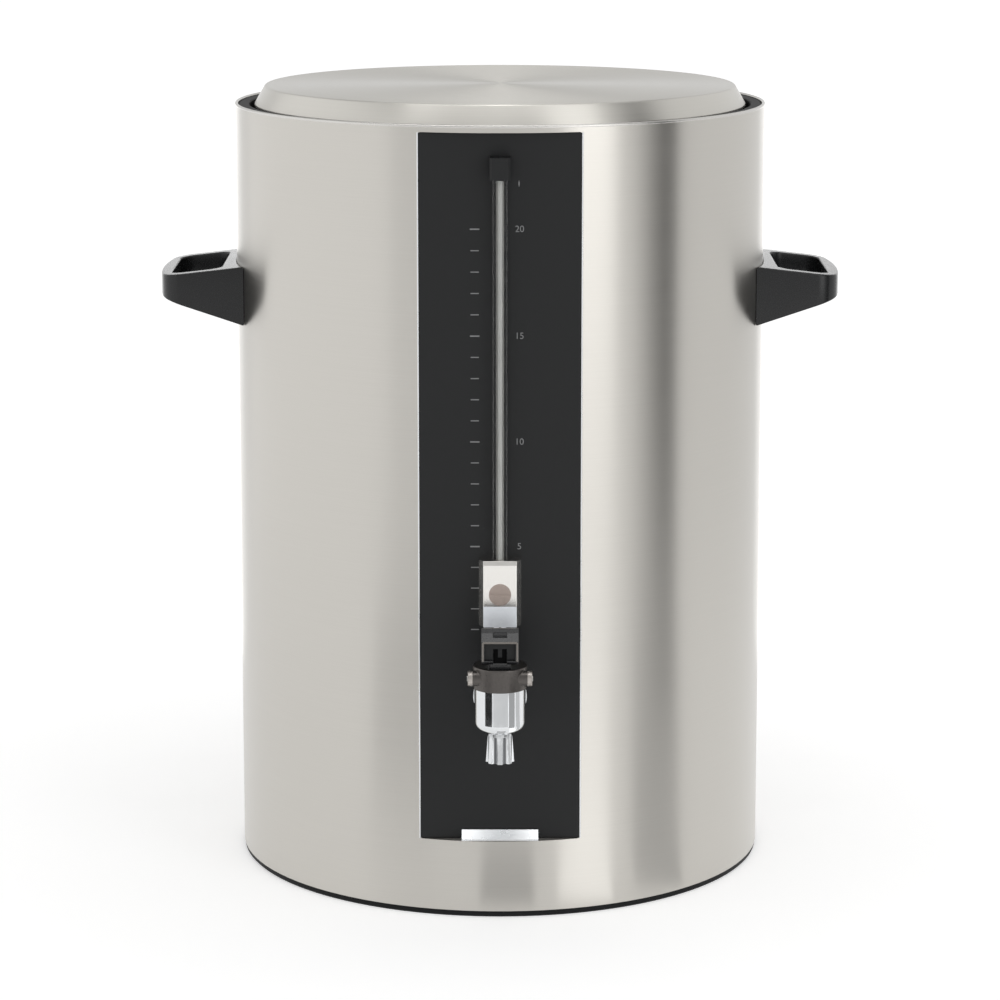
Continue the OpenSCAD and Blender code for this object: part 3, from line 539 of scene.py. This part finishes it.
low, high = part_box("outer_shell")
body_r, body_top = high.x, high.z
roll_r = 1.0 * MM
bead_r = 1.12 * roll_r
bead_back = high.y - 0.01 * MM    # the bead goes no further back than the wall
bead_profile = arc((body_r - roll_r, body_top - roll_r), bead_r, 0, 360, 24)[:-1]
bead = moved(lathe(bead_profile, steps=384),
             lambda co: Vector((co.x, min(co.y, bead_back), co.z)))
finished("rim_bead", bead, rolled_steel, "urn_body", (), sharp=60)


# ---- Handles: moulded loops that fall and thin towards the outer end ----

low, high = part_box("handle_right")
handle_out, handle_half = high.x, high.y
root_z = low.z
handle_fall = 0.114    # of the top, for each metre outwards
handle_top = high.z - handle_fall * (body_r - low.x)
tip_h = 15 * MM
corner_r, bow_r = 14 * MM, 230 * MM
wall, root_t, finger_r = 9 * MM, 8 * MM, 9 * MM
handle_edge = 1.2 * MM
seat = body_r + 0.15 * MM
drawn_h = 30 * MM      # height of the loop before it is shaped
# The underside rises from 7 mm inside the wall to 4 mm short of the outer end
rise_start, rise_extra = 7 * MM, 3 * MM

corner_y = handle_half - corner_r
bow_x = handle_out - bow_r
corner_x = bow_x + math.sqrt((bow_r - corner_r) ** 2 - corner_y ** 2)
meet = math.degrees(math.asin(corner_y / (bow_r - corner_r)))
root_angle = math.degrees(math.asin(handle_half / seat))
outline = (
    arc((0, 0), seat, root_angle, -root_angle, 24)
    + arc((corner_x, -corner_y), corner_r, -90, -meet, 10)
    + arc((bow_x, 0), bow_r, -meet, meet, 12)[1:-1]
    + arc((corner_x, corner_y), corner_r, meet, 90, 10)
)
inner_x0 = body_r + root_t + finger_r
inner_x1 = handle_out - wall - finger_r
inner_y = handle_half - wall - finger_r
opening = (
    arc((inner_x0, -inner_y), finger_r, 180, 270, 8)
    + arc((inner_x1, -inner_y), finger_r, 270, 360, 8)
    + arc((inner_x1, inner_y), finger_r, 0, 90, 8)
    + arc((inner_x0, inner_y), finger_r, 90, 180, 8)
)
tip_z = handle_top - handle_fall * (handle_out - body_r) - tip_h
for side, side_name in ((1, "right"), (-1, "left")):

    def to_place(co):
        if co.z > 0:
            z = co.z - drawn_h / 2 + handle_top - handle_fall * (co.x - body_r)
        else:
            share = (co.x - body_r + rise_start) / (handle_out - body_r + rise_extra)
            z = co.z + drawn_h / 2 + root_z + min(max(share, 0), 1) * (tip_z - root_z)
        return Vector((side * co.x, co.y, z))

    loop = moved(plate([outline, opening[::-1]], drawn_h, handle_edge, 4), to_place)
    finished(f"handle_{side_name}_moulding", merged(loop), SURFACES["handle_plastic"],
             "urn_body", [f"handle_{side_name}"], sharp=50)


# ---- Front panel: rounded face in a pressed window with bright edges ----

low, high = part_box("front_panel")
panel_y, panel_back = low.y, high.y
panel_w, panel_low, panel_high = high.x - low.x, low.z, high.z
panel_corner, panel_edge = 2 * MM, 0.5 * MM
window_gap, window_r, window_end = 0.15 * MM, 0.5 * MM, 0.1 * MM

face_outline = round_box(panel_w, panel_low, panel_high, panel_corner)
face = upright(plate([face_outline], panel_back - panel_y, panel_edge, 3),
               (panel_y + panel_back) / 2)
finished("front_panel_moulding", face, SURFACES["panel_plastic"], "urn_body",
         ["front_panel"])

window_edges = merged(*[
    upright_rod(s * (panel_w / 2 + window_gap), panel_y, panel_low, panel_high,
                window_r, 12, window_end)
    for s in (-1, 1)])
finished("window_edges", window_edges, SURFACES["bright_steel"], "urn_body", (),
         sharp=60)


# ---- Litre scale, printed on the panel ----

litre = 13.45 * MM
scale_zero = 174.5 * MM
print_t, print_edge = 0.08 * MM, 0.01 * MM
tick_x = -15.8 * MM
long_tick, short_tick = (6.0 * MM, 0.9 * MM), (5.2 * MM, 0.7 * MM)
figure_x, figure_size = 12.2 * MM, 5.8 * MM
top_bar_x, top_bar_z, top_bar = 11.8 * MM, 472.0 * MM, (0.8 * MM, 3.6 * MM)
marks = []


def mark(x, z, size):
    """Printed bar on the panel's face."""
    width, height = size
    outline = round_box(width, -height / 2, height / 2, 0.3 * height, 3)
    marks.append(upright(plate([outline], print_t, print_edge), panel_y, x, z))


def figures(text, x, z):
    """Printed figures on the panel's face."""
    curve = bpy.data.curves.new("figures", "FONT")
    curve.body, curve.size, curve.extrude = text, figure_size, print_t / 2
    curve.align_x, curve.align_y = "CENTER", "CENTER"
    marks.append(upright(mesh_of_curve(curve), panel_y, x, z))


for n in range(1, 21):
    mark(tick_x, scale_zero + n * litre, long_tick if n % 5 == 0 else short_tick)
for n in (5, 10, 15, 20):
    figures(str(n), figure_x, scale_zero + n * litre)
mark(top_bar_x, top_bar_z, top_bar)
finished("scale_marks", merged(*marks), printed, "urn_body", ())


# ---- Gauge: a thin light rod as a painted highlight down the glass, and a strip in the glass ----

tube_low, tube_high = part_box("gauge_tube")
tube_y = (tube_low.y + tube_high.y) / 2
inner_low, inner_high = tube_low.z + 1 * MM, tube_high.z - 1 * MM
highlight_rod_r, highlight_rod_end, highlight_rod_forward = 1.5 * MM, 0.2 * MM, 0.3 * MM
strip_w, strip_corner, strip_t, strip_back = 5.2 * MM, 0.4 * MM, 0.4 * MM, 1.5 * MM

# Painted highlight: a thin light rod just in front of the tube's middle
highlight_rod = upright_rod(0, tube_y - highlight_rod_forward, inner_low, inner_high, highlight_rod_r, 32,
                     highlight_rod_end)
finished("gauge_highlight_rod", highlight_rod, highlight_rod_paint, "urn_body", ())
strip_outline = round_box(strip_w, inner_low, inner_high, strip_corner)
strip = upright(plate([strip_outline], strip_t, 0.1 * MM, 2), tube_y + strip_back)
finished("gauge_strip", strip, strip_paint, "urn_body", ())


# ---- Gauge block: casting with bevelled sides, its leaning foot, and the plug's slot ----

block_low, block_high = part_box("gauge_block")
plug_low, plug_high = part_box("gauge_block_plug")
block_w, block_back = block_high.x, block_high.y
block_face = plug_low.y + 0.3 * MM         # the plug stands a little proud of the face
bevel_w, bevel_d = 2.85 * MM, 5.6 * MM
front_w, bevel_y = block_w - bevel_w, block_face + bevel_d
lean_top = block_low.z + 13 * MM
brow_h, brow_d = 2.6 * MM, 1.5 * MM


def both_sides(points):
    return points + [(-x, y, z) for x, y, z in points]


upper = spanned(both_sides([
    (block_w, block_back, block_low.z), (block_w, block_back, block_high.z),
    (block_w, bevel_y, block_low.z), (block_w, bevel_y, block_high.z),
    (front_w, block_face, block_low.z), (front_w, block_face, block_high.z - brow_h),
    (front_w, block_face + brow_d, block_high.z),
]))
lower = spanned(both_sides([
    (front_w, bevel_y, block_low.z), (front_w, block_low.y, block_low.z),
    (front_w, block_face, lean_top), (front_w, bevel_y, lean_top),
]))
finished("gauge_block_casting", merged(upper), SURFACES["block_metal"], "urn_body",
         ["gauge_block"], sharp=20)
# The foot's lighter, bluish colour is a painted reflection of the ceiling on the same casting
finished("gauge_block_foot", merged(lower), foot_painted_sheen, "urn_body", (),
         sharp=20)

plug_z = (plug_low.z + plug_high.z) / 2
slot_w, slot_half, slot_corner = 2 * plug_high.x - 1.5 * MM, 0.8 * MM, 0.2 * MM
slot_outline = round_box(slot_w, -slot_half, slot_half, slot_corner)
slot_floor = upright(plate([slot_outline], 0.2 * MM, 0.02 * MM), block_face, z=plug_z)
finished("plug_slot_floor", slot_floor, SURFACES["plug_metal"], "urn_body", ())


# ---- Tap: light sleeves on the ears of its cap ----

ear_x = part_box("tap_bonnet")[1].x
pin_low, pin_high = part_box("lever_pin")
pin_y, pin_z = (pin_low.y + pin_high.y) / 2, (pin_low.z + pin_high.z) / 2
sleeve_in, sleeve_out = ear_x - 3.2 * MM, ear_x + 0.1 * MM
sleeve_r, sleeve_edge = 4.85 * MM, 0.5 * MM

ears = merged(*[
    moved(lying_rod(sleeve_in, sleeve_out, pin_y, pin_z, sleeve_r, sleeve_edge),
          lambda co: Vector((s * co.x, co.y, co.z)))
    for s in (-1, 1)])
finished("ear_sleeves", ears, ear_metal, "urn_body", (), sharp=40)


# ---- Spring: round wire that the stem squeezes against the cap ----

spring_low, spring_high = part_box("stem_spring")
wire_r, spring_turns = 0.6 * MM, 5
coil_r = (spring_high.x - spring_low.x) / 2 - wire_r
coil_y = (spring_low.y + spring_high.y) / 2


def coil(low_z, high_z, steps=240, sides=12):
    """Mesh of a round wire along a helix."""
    shape = bmesh.new()
    rings = []
    for i in range(steps + 1):
        turn = 2 * math.pi * spring_turns * i / steps
        z = low_z + wire_r + (high_z - low_z - 2 * wire_r) * i / steps
        ring = []
        for dx, dz in arc((0, 0), wire_r, 0, 360, sides)[:-1]:
            out = coil_r + dx
            ring.append(shape.verts.new((out * math.cos(turn),
                                         coil_y + out * math.sin(turn), z + dz)))
        rings.append(ring)
    for a, b in zip(rings, rings[1:]):
        for k in range(sides):
            n = (k + 1) % sides
            shape.faces.new((a[k], a[n], b[n], b[k]))
    shape.faces.new(rings[0])
    shape.faces.new(rings[-1][::-1])
    bmesh.ops.recalc_face_normals(shape, faces=shape.faces)
    return mesh_of(shape)


spring = finished("stem_spring_coil", coil(spring_low.z, spring_high.z),
                  SURFACES["turned_steel"], "urn_body", ["stem_spring"],
                  sharp=60)
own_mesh(spring)


# ---- Lever: painted highlights along the edges of its frame, the floors of its hollow, and painted shade in its notch ----

lever_low, lever_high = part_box("tap_lever")
frame_x, frame_y = lever_high.x - 0.95 * MM, lever_low.y + 0.35 * MM
frame_low, frame_high, bar_z = pin_z + 12.3 * MM, pin_z + 24.3 * MM, pin_z + 24.15 * MM
highlight_r, highlight_end = 0.65 * MM, 0.3 * MM
# Light rods along the frame's edges are painted highlights
edges = merged(
    *[upright_rod(s * frame_x, frame_y, frame_low, frame_high, highlight_r, 16, highlight_end)
      for s in (-1, 1)],
    lying_rod(-frame_x, frame_x, frame_y, bar_z, highlight_r, highlight_end))
finished("lever_edge_highlights", edges, edge_highlight_plastic, "tap_lever", (), sharp=50)

# Half widths, heights, depths and thicknesses of the floors
well_x, tongue_x, notch_x, hollow_x = 4.1 * MM, 1.3 * MM, 4.3 * MM, 9.5 * MM
well_low, tongue_low, well_high = pin_z + 10.2 * MM, pin_z + 14.0 * MM, pin_z + 19.5 * MM
hollow_low, notch_high, hollow_high = pin_z + 12.6 * MM, pin_z + 19.7 * MM, pin_z + 23.6 * MM
well_y, hollow_y = lever_low.y + 4.3 * MM, lever_low.y + 2.95 * MM
well_t, hollow_t, floor_edge = 0.4 * MM, 0.3 * MM, 0.05 * MM

well = [(-well_x, well_low), (well_x, well_low), (well_x, well_high),
        (tongue_x, well_high), (tongue_x, tongue_low), (-tongue_x, tongue_low),
        (-tongue_x, well_high), (-well_x, well_high)]
# Painted shade: a black sheet on the notch's floor stands for the dark inside of the hole
notch = upright(plate([well], well_t, floor_edge), well_y)
finished("lever_notch_painted_shade", notch, notch_painted_shade, "tap_lever", ())

hollow = [(-hollow_x, hollow_low), (-notch_x, hollow_low), (-notch_x, notch_high),
          (notch_x, notch_high), (notch_x, hollow_low), (hollow_x, hollow_low),
          (hollow_x, hollow_high), (-hollow_x, hollow_high)]
tongue = [(-tongue_x, tongue_low), (tongue_x, tongue_low), (tongue_x, well_high),
          (-tongue_x, well_high)]
floors = merged(upright(plate([hollow], hollow_t, floor_edge), hollow_y),
                upright(plate([tongue], well_t, floor_edge), well_y))
finished("lever_hollow_floor", floors, SURFACES["panel_plastic"], "tap_lever", ())


# ---- Studio: pale floor, white surroundings, soft lamps and cards outside the view ----

FLOOR_SIZE = 40.0
FLOOR_GREY = 0.86
FLOOR_GLOW = 0.42                     # seen by the camera and in metal and glass
FLOOR_LIFT = 0.2, 0.7, 0.02, 0.16     # seen by the camera only: distances and strengths


def flat_stage(name, size_x, size_y, material, foot_x=None):
    """Flat sheet of the studio; its foot may have a width of its own."""
    mesh = bpy.data.meshes.new(name)
    x, y = size_x / 2, size_y / 2
    foot = x if foot_x is None else foot_x / 2
    mesh.from_pydata([(-foot, -y, 0), (foot, -y, 0), (x, y, 0), (-x, y, 0)], [],
                     [(0, 1, 2, 3)])
    mesh.materials.append(material)
    made = bpy.data.objects.new(name, mesh)
    bpy.context.scene.collection.objects.link(made)
    made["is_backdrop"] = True
    return made


def seen_share(tree):
    """1 for rays from the camera and for rays that metal and glass send out, else 0."""
    path = tree.nodes.new("ShaderNodeLightPath").outputs
    total = path["Is Camera Ray"]
    for other in ("Is Glossy Ray", "Is Transmission Ray"):
        total = combined(tree, "ADD", total, path[other], clamp=True)
    return total


floor_paint = bpy.data.materials.new("pale_floor")
tree = cleared(floor_paint)
diffuse = put(tree.nodes.new("ShaderNodeBsdfDiffuse"),
              Color=(FLOOR_GREY, FLOOR_GREY, FLOOR_GREY, 1))
glow = tree.nodes.new("ShaderNodeEmission")
seen_glow = combined(tree, "MULTIPLY", seen_share(tree), FLOOR_GLOW)
camera_ray = tree.nodes.new("ShaderNodeLightPath").outputs["Is Camera Ray"]
lift = ramp(tree, length_of(tree, object_place(tree)), *FLOOR_LIFT)
tree.links.new(combined(tree, "MULTIPLY_ADD", camera_ray, lift, seen_glow),
               glow.inputs["Strength"])
both = tree.nodes.new("ShaderNodeAddShader")
tree.links.new(diffuse.outputs[0], both.inputs[0])
tree.links.new(glow.outputs[0], both.inputs[1])
out = tree.nodes.new("ShaderNodeOutputMaterial")
tree.links.new(both.outputs[0], out.inputs["Surface"])
flat_stage("floor", FLOOR_SIZE, FLOOR_SIZE, floor_paint)

world = bpy.data.worlds.new("studio")
bpy.context.scene.world = world
tree = cleared(world)
sky = axes_of(tree, tree.nodes.new("ShaderNodeTexCoord").outputs["Generated"])
ceiling = ramp(tree, sky["Z"], 0.0, 0.9, 0.93, 0.62)
behind = combined(tree, "MULTIPLY", ramp(tree, sky["Y"], 0.3, 0.95, 0.0, 0.12),
                  ramp(tree, sky["Z"], 0.1, 0.5, 1.0, 0.0))
soft = tree.nodes.new("ShaderNodeBackground")
tree.links.new(combined(tree, "ADD", ceiling, behind), soft.inputs["Strength"])
white = put(tree.nodes.new("ShaderNodeBackground"), Color=(1, 1, 1, 1))
pick = tree.nodes.new("ShaderNodeMixShader")
camera_ray = tree.nodes.new("ShaderNodeLightPath").outputs["Is Camera Ray"]
tree.links.new(camera_ray, pick.inputs[0])
tree.links.new(soft.outputs[0], pick.inputs[1])
tree.links.new(white.outputs[0], pick.inputs[2])
out = tree.nodes.new("ShaderNodeOutputWorld")
tree.links.new(pick.outputs[0], out.inputs["Surface"])


def around(azimuth, distance, height):
    """Place at an azimuth from the front, positive to the right."""
    a = math.radians(azimuth)
    return Vector((distance * math.sin(a), -distance * math.cos(a), height))


def card(name, place, facing, width, height, greys, tilt=0.0, hold=0.0, foot=None):
    """Card that only metal and gloss see.

    It faces a place, leans back by a tilt and goes from one grey to the other across its
    width, of which the share hold is all of the second grey.
    """
    paint = bpy.data.materials.new(name)
    tree = cleared(paint)
    across = axes_of(tree, object_place(tree))["X"]
    shade = tree.nodes.new("ShaderNodeEmission")
    tree.links.new(ramp(tree, across, -width / 2, width * (0.5 - hold), *greys),
                   shade.inputs["Strength"])
    end = tree.nodes.new("ShaderNodeOutputMaterial")
    tree.links.new(shade.outputs[0], end.inputs["Surface"])
    made = flat_stage(name, width, height, paint, foot)
    made.location = place
    away = place - facing
    made.rotation_euler = (math.radians(90 + tilt), 0, math.atan2(away.x, -away.y))
    made.visible_camera = made.visible_diffuse = False
    made.visible_shadow = made.visible_transmission = False


def wall_card(name, azimuth, distance, width, height, greys, hold=0.0):
    """Card that stands on the floor and faces the urn."""
    card(name, around(azimuth, distance, height / 2), Vector((0, 0, 0)), width, height,
         greys, hold=hold)


def ceiling_card(name, y, z, width, depth, greys):
    """Level card above the urn."""
    card(name, Vector((0, y, z)), Vector((0, y + 1, 0)), width, depth, greys, tilt=-90)


def floor_card(name, x, y, azimuth, near, far, length, grey, tilt=79.0, gap=0.02):
    """Low card that widens as it runs out over the floor from a place on the wall."""
    start = Vector((x, y, 0))
    rise = math.radians(90 - tilt)
    run = gap + length / 2 * math.cos(rise)
    place = start + around(azimuth, run, 0.002 + length / 2 * math.sin(rise))
    card(name, place, start, far, length, (grey, grey), tilt, foot=near)


def tap_card(name, azimuth, half_angle, grey, reach=0.38):
    """Small card in front of the tap, where the reflections of its chrome cup pass."""
    width = 2 * reach * math.tan(math.radians(half_angle))
    tap_foot = Vector((0, pin_y, 0))
    card(name, tap_foot + around(azimuth, reach, 0.151 - 0.26 * reach), tap_foot,
         width, 0.046, (grey, grey))


def lamp(name, azimuth, distance, height, width, tall, watts):
    """Soft box that faces the middle of the urn."""
    data = bpy.data.lights.new(name, "AREA")
    data.shape = "RECTANGLE"
    data.size, data.size_y, data.energy = width, tall, watts
    made = bpy.data.objects.new(name, data)
    bpy.context.scene.collection.objects.link(made)
    made.location = around(azimuth, distance, height)
    aim = Vector((0, 0, 0.26)) - made.location
    made.rotation_euler = aim.to_track_quat("-Z", "Y").to_euler()
    made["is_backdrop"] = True


lamp("softbox_right", azimuth=37.5, distance=1.5, height=0.9, width=0.62, tall=1.7, watts=3.8)
lamp("softbox_top", azimuth=0, distance=0.91, height=3.0, width=0.5, tall=0.24, watts=2.8)

wall_card("card_right", azimuth=63.1, distance=0.9, width=0.37, height=1.3,
          greys=(1.0, 0.05), hold=0.3)
wall_card("card_far_right", azimuth=115, distance=1.0, width=1.2, height=1.5,
          greys=(0.86, 0.86))
wall_card("card_left", azimuth=-88, distance=1.0, width=1.9, height=1.5, greys=(1.04, 1.04))
for side, side_name, greys in ((-1, "left", (2.4, 1.0)), (1, "right", (1.0, 2.2))):
    card(f"card_rim_{side_name}", Vector((side * 0.3, 0.5, 0.25)),
         Vector((side * body_r, 0, 0)), width=0.26, height=0.5, greys=greys)

ceiling_card("card_overhead", y=0.35, z=2.0, width=1.5, depth=1.2, greys=(1.05, 1.05))
ceiling_card("card_overhead_strip", y=0.25, z=1.98, width=0.12, depth=1.3, greys=(3.0, 3.0))
ceiling_card("card_overhead_front", y=-0.6, z=1.99, width=2.0, depth=0.36, greys=(3.2, 1.6))
card("card_high_right", around(36, 1.0, 2.5), Vector((0, 0, 0)), width=0.62, height=1.3,
     greys=(1.35, 1.35))

floor_card("low_card_right", x=0.11, y=-0.145, azimuth=72, near=0.045, far=0.2,
           length=0.37, grey=0.62)
floor_card("low_card_bright", x=0.054, y=-0.1675, azimuth=38, near=0.045, far=0.16,
           length=0.34, grey=1.4)
floor_card("low_card_front", x=0.004, y=-0.176, azimuth=4, near=0.045, far=0.07,
           length=0.085, grey=0.55)
tap_card("tap_card_dark", azimuth=-53, half_angle=17.4, grey=0.02)
tap_card("tap_card_left", azimuth=-13.3, half_angle=17.7, grey=0.68)
tap_card("tap_card_middle", azimuth=22.2, half_angle=17.7, grey=0.68)
tap_card("tap_card_right", azimuth=54, half_angle=14, grey=0.42, reach=0.06)


# ---- Camera ----

looking_down = 10.09
camera_data = bpy.data.cameras.new("camera")
camera_data.sensor_width = 36
camera_data.lens = 124.2
camera_data.shift_y = -0.10
camera = bpy.data.objects.new("camera", camera_data)
bpy.context.scene.collection.objects.link(camera)
camera.location = (0, -2.2969, 0.7145)
camera.rotation_euler = (math.radians(90 - looking_down), 0, 0)
bpy.context.scene.camera = camera
bpy.context.scene.view_settings.view_transform = "Standard"

low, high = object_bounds()
